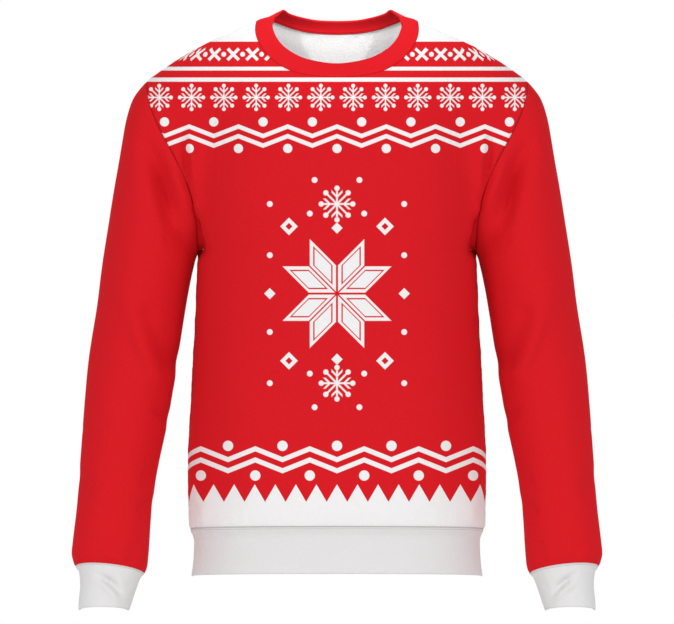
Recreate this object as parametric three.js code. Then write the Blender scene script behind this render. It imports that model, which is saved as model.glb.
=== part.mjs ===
// A crew-neck Christmas sweater, filled out as if worn, with nobody in it.
// Millimetres. The front faces -Y, +X is on the viewer's right and +Z is up.
// The origin is the middle of the neck opening, level with the inner ends of the shoulders.
// Every piece is a cloth wall over a grid of points: its outer face comes from the tables
// below and its inner face lies one wall thickness further in.
import * as THREE from 'three';

// Cloth and seams
const CLOTH_WALL = 2;
const RIB_WALL = 3;
const SEAM_GAP = 0.3;
const LARGEST_MITRE = 1.6;
const NEARLY_FLAT = 0.9;
const HEIGHT_SHARE = 0.1;

// Grid steps: the columns across each panel, the rows up an armhole and the longest row step
const SHOULDER_STEPS = 5;
const FRONT_NECK_STEPS = 9;
const BACK_NECK_STEPS = 7;
const ARMHOLE_STEPS = 12;
const COLLAR_STEPS = 4;
const BODY_ROW = 36;
const BAND_ROW = 17;
const SLEEVE_ROW = 32;
const CUFF_ROW = 17;

// Levels of the body and how far the front and back rise between the side seams
const CHEST_LEVEL = -284;
const WAISTBAND_SEAM = -631;
const WAISTBAND_END = -690;
const FRONT_RISE = 9.4;
const BACK_RISE = 4;
const BODY_ROUNDNESS = 2.35;

// Distances down a sleeve, from the armhole seam
const CUFF_SEAM = 590;
const CUFF_END = 646;

// Fullness of the upper body: how early it turns in towards the neck and shoulders
const LOWER_FULLNESS = 1.3;
const UPPER_FULLNESS = 1.35;
const SHOULDER_LEAN = 88;
const NECK_POINT_LEAN = 74;
const NECK_POINT_TURN = 0.6;
const NECK_POINT_REACH = 0.36;
const FRONT_NECK_LEAN = 24;
const BACK_NECK_LEAN = 25;
const ARMHOLE_SPREAD = 2.2;
const RELAX_ROUNDS = 10;
const RELAX_SHARE = 0.5;
const RELAX_MARGIN = 4;
const SHOULDER_ARCH = 7;
const SHOULDER_ARCH_SKEW = 1.2;
const ARMHOLE_HOOK = 3;
const COLLAR_SWELL = 1.6;
const FOLD_FADE = 26;

const FRONT = -1;
const BACK = 1;

// Body sections from the chest to the end of the waistband, at the side seams
const BODY = [
  { z: -284, half: 173.5, front: 132, back: 122 },
  { z: -326, half: 175, front: 132, back: 120 },
  { z: -376, half: 177, front: 130, back: 117 },
  { z: -426, half: 180, front: 128, back: 114.5 },
  { z: -470, half: 182, front: 126.5, back: 113.5 },
  { z: -534, half: 185.5, front: 125, back: 114 },
  { z: -586, half: 185.5, front: 124.5, back: 116 },
  { z: -618, half: 184.5, front: 123.5, back: 117 },
  { z: -631, half: 183, front: 122, back: 116 },
  { z: -642, half: 178.5, front: 118.5, back: 112.5 },
  { z: -656, half: 178.5, front: 118.5, back: 112.5 },
  { z: -676, half: 180, front: 120, back: 114 },
  { z: -690, half: 182, front: 121.5, back: 115.5 },
];

// The neckline from the middle of the front (turn 0) past the shoulder (1) to the back (2):
// the seam on the body and the free edge of the collar
const NECKLINE = [
  { turn: 0, x: 0, y: -88, z: -71, freeX: 0, freeY: -74, freeZ: -52.5 },
  { turn: 0.28, x: 43.5, y: -80, z: -66.5, freeX: 35, freeY: -67, freeZ: -47 },
  { turn: 0.5, x: 69, y: -66, z: -56, freeX: 56.5, freeY: -54, freeZ: -37 },
  { turn: 0.7, x: 90.5, y: -44, z: -36.5, freeX: 72, freeY: -34, freeZ: -22.5 },
  { turn: 0.86, x: 101.2, y: -18, z: -15, freeX: 80.4, freeY: -10, freeZ: -3.6 },
  { turn: 1, x: 101.2, y: 12, z: 3.8, freeX: 77.4, freeY: 12, freeZ: 9.4 },
  { turn: 1.11, x: 94.6, y: 30, z: 6.3, freeX: 74, freeY: 24, freeZ: 14 },
  { turn: 1.22, x: 84.6, y: 45, z: 8.2, freeX: 67, freeY: 36, freeZ: 20.4 },
  { turn: 1.34, x: 72.2, y: 56, z: 4.6, freeX: 59.4, freeY: 46, freeZ: 16.4 },
  { turn: 1.5, x: 54, y: 67, z: -1.5, freeX: 44.5, freeY: 56.5, freeZ: 12.4 },
  { turn: 1.74, x: 30.3, y: 76, z: -6, freeX: 25.3, freeY: 65.5, freeZ: 9.3 },
  { turn: 2, x: 0, y: 79, z: -7.5, freeX: 0, freeY: 68.5, freeZ: 8.4 },
];

// Sleeve and cuff sections on the +X side. Each lies across the arm from an inner point to
// an outer one and reaches forward and back of them; the first one is the armhole seam.
// Its arch lifts the middle of a section, and its bow bends it along the armhole.
const SLEEVE = [
  { down: 0, outX: 237, outZ: -71.6, inX: 173.5, inZ: -284, y: 0, front: 63, back: 60, arch: 0, bow: 1 },
  { down: 18, outX: 252.5, outZ: -91, inX: 175, inZ: -288, y: 0, front: 66, back: 63, arch: 0, bow: 0.75 },
  { down: 42, outX: 262, outZ: -116, inX: 177, inZ: -294, y: 0, front: 69, back: 66, arch: 0, bow: 0.5 },
  { down: 70, outX: 268.5, outZ: -147, inX: 179, inZ: -303, y: 0, front: 72, back: 69, arch: 0, bow: 0.28 },
  { down: 105, outX: 275.5, outZ: -189, inX: 182, inZ: -317, y: -1, front: 74, back: 71, arch: 0, bow: 0.1 },
  { down: 150, outX: 284, outZ: -241, inX: 186.5, inZ: -340, y: -2, front: 74, back: 73, arch: 0, bow: 0 },
  { down: 200, outX: 292.5, outZ: -295, inX: 191.5, inZ: -371, y: -4, front: 72, back: 73, arch: 0, bow: 0 },
  { down: 255, outX: 299.7, outZ: -352, inX: 196.8, inZ: -408, y: -7, front: 68, back: 70, arch: 0, bow: 0 },
  { down: 318, outX: 309.4, outZ: -418, inX: 202.6, inZ: -447, y: -11, front: 63, back: 67, arch: 0, bow: 0 },
  { down: 380, outX: 315, outZ: -479.6, inX: 210.4, inZ: -493.6, y: -18, front: 58, back: 62, arch: 0, bow: 0 },
  { down: 445, outX: 319, outZ: -537, inX: 222.5, inZ: -551, y: -27, front: 53, back: 56, arch: 2, bow: 0 },
  { down: 510, outX: 323, outZ: -601.5, inX: 230.6, inZ: -613.5, y: -36, front: 48, back: 50, arch: 5, bow: 0 },
  { down: 555, outX: 327.6, outZ: -645, inX: 233.3, inZ: -650, y: -43, front: 45, back: 45, arch: 8, bow: 0 },
  { down: 575, outX: 328.5, outZ: -662, inX: 235.7, inZ: -673.5, y: -46, front: 42, back: 42, arch: 9.5, bow: 0 },
  { down: 590, outX: 324, outZ: -675.5, inX: 239, inZ: -684.4, y: -48, front: 36, back: 36, arch: 10, bow: 0 },
  { down: 600, outX: 319.2, outZ: -682.5, inX: 243.5, inZ: -689, y: -50, front: 33, back: 33, arch: 9, bow: 0 },
  { down: 616, outX: 318, outZ: -699, inX: 248.8, inZ: -703, y: -53, front: 31, back: 31, arch: 8, bow: 0 },
  { down: 632, outX: 319.5, outZ: -715, inX: 253.2, inZ: -717, y: -55.5, front: 30, back: 30, arch: 7, bow: 0 },
  { down: 646, outX: 320.2, outZ: -729, inX: 257.5, inZ: -730, y: -58, front: 29, back: 29, arch: 6.3, bow: 0 },
];

// Large folds, as lines seen from the front or back on the +X side and mirrored on the other.
// A height above 0 is a ridge and below 0 a trough; the width is where it has sunk to a third.
const FOLDS = [
  { part: 'body', side: FRONT, x0: 187, z0: -152, x1: 180, z1: -262, width: 15, height: 5 },
  { part: 'body', side: BACK, x0: 186, z0: -165, x1: 178, z1: -268, width: 16, height: 4.5 },
  { part: 'body', side: FRONT, x0: 168, z0: -392, x1: 150, z1: -590, width: 26, height: -2.5 },
  { part: 'body', side: BACK, x0: 160, z0: -410, x1: 128, z1: -596, width: 28, height: -3 },
  { part: 'sleeve', side: FRONT, x0: 232, z0: -160, x1: 190, z1: -268, width: 16, height: -7 },
  { part: 'sleeve', side: FRONT, x0: 258, z0: -340, x1: 222, z1: -434, width: 17, height: 5 },
  { part: 'sleeve', side: FRONT, x0: 234, z0: -366, x1: 209, z1: -420, width: 12, height: -5 },
  { part: 'sleeve', side: BACK, x0: 240, z0: -176, x1: 196, z1: -272, width: 18, height: -6 },
  { part: 'sleeve', side: BACK, x0: 278, z0: -384, x1: 232, z1: -446, width: 15, height: 4 },
  { part: 'sleeve', side: BACK, x0: 276, z0: -424, x1: 238, z1: -474, width: 13, height: -3.5 },
];

// Colours
const RED = '#d5202a';
const WHITE = '#ececec';
const CLOTH_ROUGHNESS = 0.9;

const HALF_TURN = Math.PI;
const QUARTER_TURN = Math.PI / 2;

// One row of a table at a place between its rows, smooth from row to row
function readTable(table, key, place) {
  let low = 0;
  const ascending = table[1][key] > table[0][key];
  const passed = (row) => (ascending ? place > row[key] : place < row[key]);
  while (low < table.length - 2 && passed(table[low + 1])) {
    low += 1;
  }
  const before = table[Math.max(low - 1, 0)];
  const start = table[low];
  const end = table[low + 1];
  const after = table[Math.min(low + 2, table.length - 1)];
  const span = end[key] - start[key];
  const share = (place - start[key]) / span;
  const row = {};
  for (const column of Object.keys(start)) {
    const leaving = (end[column] - before[column]) / (end[key] - before[key]) * span;
    const arriving = (after[column] - start[column]) / (after[key] - start[key]) * span;
    row[column] = hermite(start[column], leaving, end[column], arriving, share);
  }
  return row;
}

function hermite(start, leaving, end, arriving, share) {
  const square = share * share;
  const cube = square * share;
  return start * (2 * cube - 3 * square + 1) + leaving * (cube - 2 * square + share)
    + end * (3 * square - 2 * cube) + arriving * (cube - square);
}

function hermitePoint(start, leaving, end, arriving, share) {
  const along = (axis) => hermite(start[axis], leaving[axis], end[axis], arriving[axis], share);
  return new THREE.Vector3(along('x'), along('y'), along('z'));
}

// The table's own places between two ends, and places between them so that no step is too long
function stations(table, key, from, to, longest) {
  const low = Math.min(from, to);
  const high = Math.max(from, to);
  const places = table.map((row) => row[key]).filter((place) => place >= low && place <= high);
  const filled = [places[0]];
  for (let i = 1; i < places.length; i += 1) {
    const span = places[i] - places[i - 1];
    const steps = Math.ceil(Math.abs(span) / longest);
    for (let step = 1; step <= steps; step += 1) {
      filled.push(places[i - 1] + span * step / steps);
    }
  }
  return filled;
}

function smoothStep(value) {
  const share = THREE.MathUtils.clamp(value, 0, 1);
  return share * share * (3 - 2 * share);
}

function signedPower(value, power) {
  return Math.sign(value) * Math.abs(value) ** power;
}

// Body: across runs from -1 at one side seam past 0 in the middle to 1 at the other
function ringPoint(side, across, z) {
  const section = readTable(BODY, 'z', z);
  const turn = across * QUARTER_TURN;
  const depth = side === FRONT ? section.front : section.back;
  const rise = side === FRONT ? FRONT_RISE : BACK_RISE;
  const outwardShare = Math.abs(Math.cos(turn)) ** (2 / BODY_ROUNDNESS);
  const downward = (CHEST_LEVEL - z) / (CHEST_LEVEL - WAISTBAND_END);
  return new THREE.Vector3(
    section.half * signedPower(Math.sin(turn), 2 / BODY_ROUNDNESS),
    side * depth * outwardShare,
    z + rise * downward * outwardShare,
  );
}

// The neckline table with one mirrored row past each end, so that it runs level across them
function neckLoop() {
  const mirrored = (row, turn) => ({ ...row, turn, x: -row.x, freeX: -row.freeX });
  const second = NECKLINE[1];
  const beforeLast = NECKLINE[NECKLINE.length - 2];
  return [mirrored(second, -second.turn), ...NECKLINE, mirrored(beforeLast, 4 - beforeLast.turn)];
}

const NECK_LOOP = neckLoop();

function neckSeamPoint(turn) {
  const row = readTable(NECK_LOOP, 'turn', turn);
  return new THREE.Vector3(row.x, row.y, row.z);
}

function neckFreePoint(turn) {
  const row = readTable(NECK_LOOP, 'turn', turn);
  return new THREE.Vector3(row.freeX, row.freeY, row.freeZ);
}

// The shoulder seam from the neck (0) to the armhole (1)
function shoulderPoint(share) {
  const point = neckSeamPoint(1).lerp(armholePoint(HALF_TURN), share);
  point.z += SHOULDER_ARCH * Math.sin(HALF_TURN * share ** SHOULDER_ARCH_SKEW);
  return point;
}

function neckSteps(side) {
  return side === FRONT ? FRONT_NECK_STEPS : BACK_NECK_STEPS;
}

function halfSteps(side) {
  return neckSteps(side) + SHOULDER_STEPS;
}

// How far over the shoulder or towards the neck a panel leans where it ends, in degrees
function topLean(side, across) {
  const neckShare = neckSteps(side) / halfSteps(side);
  const middle = side === FRONT ? FRONT_NECK_LEAN : BACK_NECK_LEAN;
  if (across < neckShare) {
    return THREE.MathUtils.lerp(middle, NECK_POINT_LEAN, smoothStep(across / neckShare));
  }
  const share = (across - neckShare) / (1 - neckShare);
  return THREE.MathUtils.lerp(NECK_POINT_LEAN, SHOULDER_LEAN, smoothStep(share));
}

function topPoint(side, across) {
  const neckShare = neckSteps(side) / halfSteps(side);
  if (across <= neckShare) {
    const turn = across / neckShare;
    return neckSeamPoint(side === FRONT ? turn : 2 - turn);
  }
  return shoulderPoint((across - neckShare) / (1 - neckShare));
}

// A column of the upper body, from the chest level (0) to the neckline or shoulder (1)
function columnPoint(side, across, upward) {
  const low = ringPoint(side, across, CHEST_LEVEL);
  const high = topPoint(side, across);
  const lean = THREE.MathUtils.degToRad(topLean(side, across));
  const rise = high.z - low.z;
  const run = Math.abs(high.y - low.y);
  const reach = UPPER_FULLNESS * (run * Math.sin(lean) + rise * Math.cos(lean));
  const fromNeckPoint = Math.abs(across - neckSteps(side) / halfSteps(side));
  const inward = NECK_POINT_TURN * smoothStep(1 - fromNeckPoint / NECK_POINT_REACH);
  const leaving = new THREE.Vector3(0, 0, LOWER_FULLNESS * rise);
  const arriving = new THREE.Vector3(-inward, -side * Math.sin(lean), Math.cos(lean)).multiplyScalar(reach);
  return hermitePoint(low, leaving, high, arriving, upward);
}

// The upper body: its columns, drawn to the armhole towards the sides
function upperPoint(side, across, upward) {
  const width = Math.abs(across);
  const point = columnPoint(side, width, upward);
  const turn = side === FRONT ? upward * HALF_TURN : -upward * HALF_TURN;
  const pull = armholePoint(turn).sub(columnPoint(side, 1, upward));
  point.addScaledVector(pull, width ** ARMHOLE_SPREAD);
  point.x *= across < 0 ? -1 : 1;
  return point;
}

// A point round the sleeve: turn 0 is under the arm, a quarter turn is in front, a half turn
// is on the outside, and the back has the same turns below 0
function sleevePoint(down, turn) {
  const section = readTable(SLEEVE, 'down', down);
  const outward = (1 - Math.cos(turn)) / 2;
  const bend = Math.sin(outward * QUARTER_TURN) ** ARMHOLE_HOOK - outward;
  const width = section.outX - section.inX;
  const forward = Math.sin(turn);
  return new THREE.Vector3(
    section.inX + width * (outward + section.bow * bend),
    section.y - forward * (forward > 0 ? section.front : section.back),
    THREE.MathUtils.lerp(section.inZ, section.outZ, outward) + section.arch * Math.abs(forward),
  );
}

function armholePoint(turn) {
  return sleevePoint(0, turn);
}

// Grids. Columns run with the front or the outside towards -Y and rows run upwards.
function panelColumns(side) {
  const half = halfSteps(side);
  const columns = [];
  for (let step = -half; step <= half; step += 1) {
    columns.push(-side * step / half);
  }
  return columns;
}

// The inner points of the upper body, drawn towards their neighbours as slack cloth is, so
// that the corner between neckline and shoulder leaves no crease below it
function relaxedGrid(grid, lowestRow) {
  let relaxed = grid;
  for (let round = 0; round < RELAX_ROUNDS; round += 1) {
    const last = relaxed;
    relaxed = last.map((row, r) => row.map((point, c) => {
      const held = r <= lowestRow || r === last.length - 1 || c === 0 || c === row.length - 1;
      if (held) {
        return point;
      }
      const fromSide = Math.min(c, row.length - 1 - c) / RELAX_MARGIN;
      const share = RELAX_SHARE * smoothStep(fromSide) * smoothStep((r - lowestRow) / RELAX_MARGIN);
      const around = row[c - 1].clone().add(row[c + 1]).add(last[r - 1][c]).add(last[r + 1][c]);
      return point.clone().lerp(around.divideScalar(4), share);
    }));
  }
  return relaxed;
}

function panelGrid(side) {
  const columns = panelColumns(side);
  const levels = stations(BODY, 'z', WAISTBAND_SEAM, CHEST_LEVEL, BODY_ROW).reverse();
  const grid = levels.map((z) => columns.map((across) => ringPoint(side, across, z)));
  for (let step = 1; step <= ARMHOLE_STEPS; step += 1) {
    grid.push(columns.map((across) => upperPoint(side, across, step / ARMHOLE_STEPS)));
  }
  const armpitRow = levels.length - 1;
  return { grid: relaxedGrid(grid, armpitRow), armpitRow };
}

function loopColumns() {
  const front = panelColumns(FRONT).map((across) => ({ side: FRONT, across }));
  const back = panelColumns(BACK).map((across) => ({ side: BACK, across }));
  return [...front.slice(0, -1), ...back.slice(0, -1)];
}

function waistbandGrid() {
  const levels = stations(BODY, 'z', WAISTBAND_END, WAISTBAND_SEAM, BAND_ROW).reverse();
  return levels.map((z) => loopColumns().map(({ side, across }) => ringPoint(side, across, z)));
}

function sleeveTurns() {
  const turns = [];
  for (let step = 0; step < 2 * ARMHOLE_STEPS; step += 1) {
    const turn = HALF_TURN * step / ARMHOLE_STEPS;
    turns.push(step <= ARMHOLE_STEPS ? turn : turn - 2 * HALF_TURN);
  }
  return turns;
}

function sleeveGrid(from, to, longest) {
  const places = stations(SLEEVE, 'down', from, to, longest).reverse();
  return places.map((down) => sleeveTurns().map((turn) => sleevePoint(down, turn)));
}

// Places round the collar, matching the columns of both panels along the neckline
function neckTurns() {
  const turns = [];
  for (let step = -FRONT_NECK_STEPS; step < FRONT_NECK_STEPS; step += 1) {
    turns.push({ turn: Math.abs(step) / FRONT_NECK_STEPS, mirror: step < 0 ? -1 : 1 });
  }
  for (let step = -BACK_NECK_STEPS; step < BACK_NECK_STEPS; step += 1) {
    turns.push({ turn: 2 - Math.abs(step) / BACK_NECK_STEPS, mirror: step < 0 ? 1 : -1 });
  }
  return turns;
}

function collarGrid() {
  const grid = [];
  for (let step = 0; step <= COLLAR_STEPS; step += 1) {
    const share = step / COLLAR_STEPS;
    grid.push(neckTurns().map(({ turn, mirror }) => {
      const point = neckSeamPoint(turn).lerp(neckFreePoint(turn), share);
      const away = new THREE.Vector3(point.x, point.y, 0).normalize();
      point.addScaledVector(away, COLLAR_SWELL * Math.sin(HALF_TURN * share));
      point.x *= mirror;
      return point;
    }));
  }
  return grid;
}

// Outward normals of a grid. A closed grid goes all the way round.
function gridNormals(grid, closed) {
  const rows = grid.length;
  return grid.map((row, r) => row.map((point, c) => {
    const count = row.length;
    const before = closed ? row[(c - 1 + count) % count] : row[Math.max(c - 1, 0)];
    const after = closed ? row[(c + 1) % count] : row[Math.min(c + 1, count - 1)];
    const below = grid[Math.max(r - 1, 0)][c];
    const above = grid[Math.min(r + 1, rows - 1)][c];
    const across = after.clone().sub(before);
    const upward = above.clone().sub(below);
    return across.cross(upward).normalize();
  }));
}

// The distance of each point from the nearest edge of its grid, along its row and column
function edgeDistances(grid, closed) {
  const rows = grid.length;
  const columns = grid[0].length;
  const up = grid.map((row) => row.map(() => 0));
  const right = grid.map((row) => row.map(() => 0));
  for (let r = 0; r < rows; r += 1) {
    for (let c = 0; c < columns; c += 1) {
      up[r][c] = r ? up[r - 1][c] + grid[r][c].distanceTo(grid[r - 1][c]) : 0;
      right[r][c] = c ? right[r][c - 1] + grid[r][c].distanceTo(grid[r][c - 1]) : 0;
    }
  }
  return grid.map((row, r) => row.map((point, c) => {
    const vertical = Math.min(up[r][c], up[rows - 1][c] - up[r][c]);
    const sideways = Math.min(right[r][c], right[r][columns - 1] - right[r][c]);
    return closed ? vertical : Math.min(vertical, sideways);
  }));
}

function foldHeight(fold, point, normal) {
  const x = Math.abs(point.x) - fold.x0;
  const z = point.z - fold.z0;
  const lengthX = fold.x1 - fold.x0;
  const lengthZ = fold.z1 - fold.z0;
  const share = (x * lengthX + z * lengthZ) / (lengthX ** 2 + lengthZ ** 2);
  const nearest = THREE.MathUtils.clamp(share, 0, 1);
  const distance = Math.hypot(x - nearest * lengthX, z - nearest * lengthZ);
  const facing = smoothStep(0.5 + fold.side * normal.y);
  return fold.height * facing * Math.exp(-((distance / fold.width) ** 2));
}

// A grid with its folds raised and sunk, and its edges left where they are
function foldedGrid(grid, closed, part) {
  const normals = gridNormals(grid, closed);
  const distances = edgeDistances(grid, closed);
  const folds = FOLDS.filter((fold) => fold.part === part);
  return grid.map((row, r) => row.map((point, c) => {
    const normal = normals[r][c];
    const height = folds.reduce((sum, fold) => sum + foldHeight(fold, point, normal), 0);
    return point.clone().addScaledVector(normal, height * smoothStep(distances[r][c] / FOLD_FADE));
  }));
}

// The wall of one piece between its outer and inner grids. Each place on a seam knows the
// outward direction that both pieces share there and the way the seam runs, against the clock
// as seen from outside. The wall ends half a seam gap back and is mitred where it bends away,
// and a rib is as thin as the cloth where it is sewn to it.
function wallGrids(piece, thickness, seams) {
  const outer = piece.grid.map((row) => row.map((point) => point.clone()));
  const inward = piece.normals.map((row) => row.map((normal) => normal.clone().multiplyScalar(-thickness)));
  for (const { r, c, direction, tangent } of seams.flat()) {
    const back = direction.clone().cross(tangent).normalize();
    outer[r][c].addScaledVector(back, SEAM_GAP / 2);
    const normal = piece.normals[r][c];
    const facing = normal.dot(direction);
    const mitred = normal.dot(back) > 0 || facing > NEARLY_FLAT;
    const mitre = Math.min(1 / Math.max(facing, 1 / LARGEST_MITRE), LARGEST_MITRE);
    const through = mitred ? direction.clone().multiplyScalar(mitre) : normal;
    inward[r][c].copy(through).multiplyScalar(-CLOTH_WALL);
  }
  const inner = outer.map((row, r) => row.map((point, c) => point.clone().add(inward[r][c])));
  return { outer, inner };
}

// A closed body between an outer and an inner grid
function wallGeometry({ outer, inner }, closed) {
  const rows = outer.length;
  const columns = outer[0].length;
  const positions = [...outer.flat(), ...inner.flat()].flatMap((point) => [point.x, point.y, point.z]);
  const insideStart = rows * columns;
  const out = (r, c) => r * columns + (c % columns);
  const ins = (r, c) => insideStart + out(r, c);
  const faces = [];
  const quad = (a, b, c, d) => faces.push(a, b, c, a, c, d);
  // Both pieces at a seam split their end faces the same way, from the place further in
  const outwards = ([r, c]) => {
    const { x, z } = outer[r][c % columns];
    return Math.abs(x) + HEIGHT_SHARE * z;
  };
  const rim = (first, second) => {
    if (outwards(first) <= outwards(second)) {
      quad(out(...first), ins(...first), ins(...second), out(...second));
    } else {
      quad(ins(...first), ins(...second), out(...second), out(...first));
    }
  };
  const lastColumn = closed ? columns : columns - 1;
  for (let c = 0; c < lastColumn; c += 1) {
    const mirrored = !closed && c < lastColumn / 2;
    for (let r = 0; r < rows - 1; r += 1) {
      if (mirrored) {
        quad(out(r, c + 1), out(r + 1, c + 1), out(r + 1, c), out(r, c));
        quad(ins(r, c + 1), ins(r, c), ins(r + 1, c), ins(r + 1, c + 1));
      } else {
        quad(out(r, c), out(r, c + 1), out(r + 1, c + 1), out(r + 1, c));
        quad(ins(r, c), ins(r + 1, c), ins(r + 1, c + 1), ins(r, c + 1));
      }
    }
    rim([0, c], [0, c + 1]);
    rim([rows - 1, c + 1], [rows - 1, c]);
  }
  for (let r = 0; r < rows - 1 && !closed; r += 1) {
    rim([r + 1, 0], [r, 0]);
    rim([r, columns - 1], [r + 1, columns - 1]);
  }
  const geometry = new THREE.BufferGeometry();
  geometry.setAttribute('position', new THREE.Float32BufferAttribute(positions, 3));
  geometry.setIndex(faces);
  geometry.computeVertexNormals();
  return geometry;
}

// The same piece on the other side of the garment
function mirroredGeometry(geometry) {
  const mirrored = geometry.clone();
  mirrored.scale(-1, 1, 1);
  const index = mirrored.getIndex();
  for (let i = 0; i < index.count; i += 3) {
    const second = index.getX(i + 1);
    index.setX(i + 1, index.getX(i + 2));
    index.setX(i + 2, second);
  }
  mirrored.computeVertexNormals();
  return mirrored;
}

function average(first, second) {
  return first.clone().add(second).normalize();
}

function range(from, to) {
  const step = to < from ? -1 : 1;
  return Array.from({ length: Math.abs(to - from) + 1 }, (unused, index) => from + index * step);
}

// Front and back meet at the side and shoulder seams and share their outward directions there
function shareBodyNormals(front, back) {
  const last = { front: front.grid[0].length - 1, back: back.grid[0].length - 1 };
  const top = front.grid.length - 1;
  const pairs = [];
  for (let r = 0; r <= front.armpitRow; r += 1) {
    pairs.push([[r, last.front], [r, 0]], [[r, 0], [r, last.back]]);
  }
  for (let step = 0; step <= SHOULDER_STEPS; step += 1) {
    pairs.push([[top, step], [top, last.back - step]], [[top, last.front - step], [top, step]]);
  }
  for (const [[frontRow, frontColumn], [backRow, backColumn]] of pairs) {
    const shared = average(front.normals[frontRow][frontColumn], back.normals[backRow][backColumn]);
    front.normals[frontRow][frontColumn] = shared;
    back.normals[backRow][backColumn] = shared.clone();
  }
}

// The outward direction and the way of the columns at each place round one end of a tube
function rimFrames(tube, row) {
  const points = tube.grid[row];
  const count = points.length;
  return points.map((point, c) => ({
    normal: tube.normals[row][c],
    tangent: points[(c + 1) % count].clone().sub(points[(c - 1 + count) % count]).normalize(),
  }));
}

function flipped(vector, mirror) {
  return new THREE.Vector3(mirror * vector.x, vector.y, vector.z);
}

// A seam between a panel's edge and a tube's end. The way is 1 where the panel's edge runs
// with the tube's columns, and mirror is -1 for the sleeve on the other side.
function rimSeam(panel, places, frames, rimColumns, way, mirror = 1) {
  return places.map(([r, c], index) => {
    const rimColumn = rimColumns[index];
    const { normal, tangent } = frames[rimColumn];
    return {
      r,
      c,
      rimColumn,
      direction: average(panel.normals[r][c], flipped(normal, mirror)),
      tangent: flipped(tangent, mirror).multiplyScalar(way),
    };
  });
}

// The tube's side of the same seam
function tubeSeam(tube, row, panelSeam, way) {
  const frames = rimFrames(tube, row);
  return panelSeam.map(({ rimColumn, direction }) => ({
    r: row,
    c: rimColumn,
    direction,
    tangent: frames[rimColumn].tangent.clone().multiplyScalar(way),
  }));
}

// A seam between front and back, at a side or a shoulder
function openSeam(panel, places) {
  return places.map(([r, c], index) => {
    const [beforeRow, beforeColumn] = places[Math.max(index - 1, 0)];
    const [afterRow, afterColumn] = places[Math.min(index + 1, places.length - 1)];
    const tangent = panel.grid[afterRow][afterColumn].clone().sub(panel.grid[beforeRow][beforeColumn]);
    return { r, c, direction: panel.normals[r][c], tangent: tangent.normalize() };
  });
}

function panelSeams(panel, side, sleeve, collar, waistband) {
  const last = panel.grid[0].length - 1;
  const top = panel.grid.length - 1;
  const { armpitRow } = panel;
  const sleeveTop = rimFrames(sleeve, sleeve.grid.length - 1);
  const sleeveCount = 2 * ARMHOLE_STEPS;
  const upTheSleeve = range(0, ARMHOLE_STEPS).map((step) => (side * -step + sleeveCount) % sleeveCount);
  const downTheSleeve = upTheSleeve.slice().reverse();
  const firstMirror = side === FRONT ? -1 : 1;
  const bandStart = side === FRONT ? 0 : 2 * halfSteps(FRONT);
  const bandCount = waistband.grid[0].length;
  const collarStart = side === FRONT ? 0 : 2 * FRONT_NECK_STEPS;
  const collarCount = collar.grid[0].length;
  const neckColumns = range(last - SHOULDER_STEPS, SHOULDER_STEPS);

  const hem = rimSeam(
    panel,
    range(0, last).map((c) => [0, c]),
    rimFrames(waistband, waistband.grid.length - 1),
    range(0, last).map((c) => (bandStart + c) % bandCount),
    1,
  );
  const neck = rimSeam(
    panel,
    neckColumns.map((c) => [top, c]),
    rimFrames(collar, 0),
    neckColumns.map((c) => (collarStart + c - SHOULDER_STEPS) % collarCount),
    -1,
  );
  const lastArmhole = rimSeam(
    panel,
    range(armpitRow, top).map((r) => [r, last]),
    sleeveTop,
    upTheSleeve,
    -firstMirror,
    -firstMirror,
  );
  const firstArmhole = rimSeam(
    panel,
    range(top, armpitRow).map((r) => [r, 0]),
    sleeveTop,
    downTheSleeve,
    firstMirror,
    firstMirror,
  );
  return {
    lastSide: openSeam(panel, range(0, armpitRow).map((r) => [r, last])),
    firstSide: openSeam(panel, range(armpitRow, 0).map((r) => [r, 0])),
    lastShoulder: openSeam(panel, range(last, last - SHOULDER_STEPS).map((c) => [top, c])),
    firstShoulder: openSeam(panel, range(SHOULDER_STEPS, 0).map((c) => [top, c])),
    hem,
    neck,
    lastArmhole,
    firstArmhole,
  };
}

function makePiece(grid, closed) {
  return { grid, closed, normals: gridNormals(grid, closed) };
}

function makePanel(side) {
  const { grid, armpitRow } = panelGrid(side);
  return { ...makePiece(foldedGrid(grid, false, 'body'), false), armpitRow };
}

function pieceGeometry(piece, thickness, seams) {
  return wallGeometry(wallGrids(piece, thickness, seams), piece.closed);
}

function makeMesh(name, geometry, colour) {
  const material = new THREE.MeshStandardMaterial({
    color: colour,
    roughness: CLOTH_ROUGHNESS,
    metalness: 0,
  });
  const mesh = new THREE.Mesh(geometry, material);
  mesh.name = name;
  return mesh;
}

// A tube's seam lists the places where two panels meet once
function uniqueColumns(seam) {
  return [...new Map(seam.map((place) => [place.rimColumn, place])).values()];
}

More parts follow.
